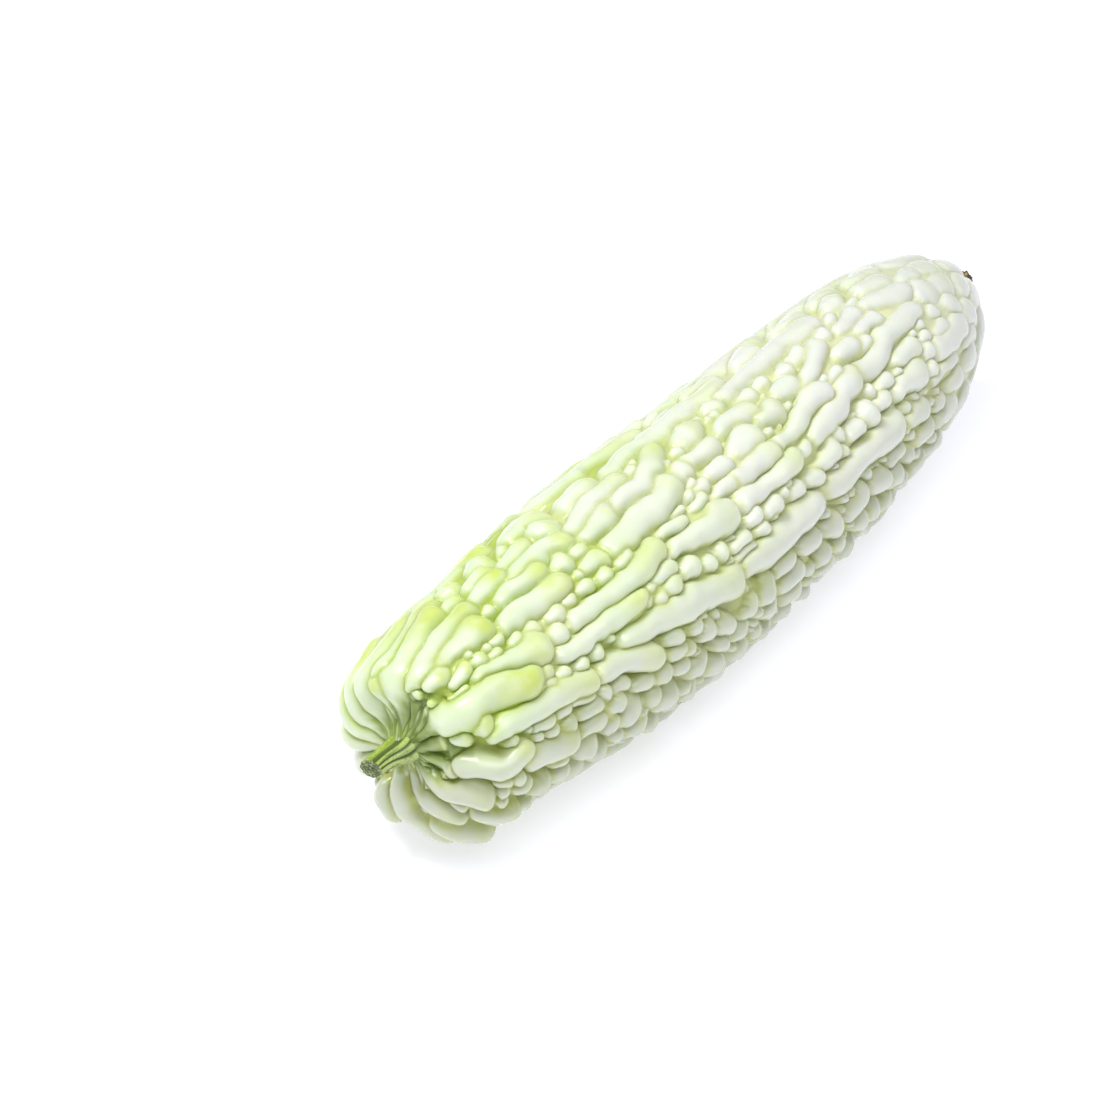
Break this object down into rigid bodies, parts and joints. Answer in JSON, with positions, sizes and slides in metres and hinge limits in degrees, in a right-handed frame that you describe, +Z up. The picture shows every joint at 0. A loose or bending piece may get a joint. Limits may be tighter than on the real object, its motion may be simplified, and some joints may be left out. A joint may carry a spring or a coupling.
{
  "type": "bitter gourd",
  "caption": "Whole pale green bitter gourd lying on its side, its skin all long ridges and round warts, with a short cut stem.",
  "frame": {"origin": "centre of the bounding box at its bottom, on the surface the gourd lies on", "axes": "+X along the fruit from the stem end to the blossom end, +Z up"},
  "size_m": [0.312, 0.0744, 0.0726],
  "materials": {
    "skin": "waxy, slightly translucent",
    "stem": "fibrous",
    "dried_flower": "dry"
  },
  "bodies": {
    "root": {"gourd_body": "skin", "stem": "stem", "blossom_remnant": "dried_flower"}
  },
  "joints": []
}
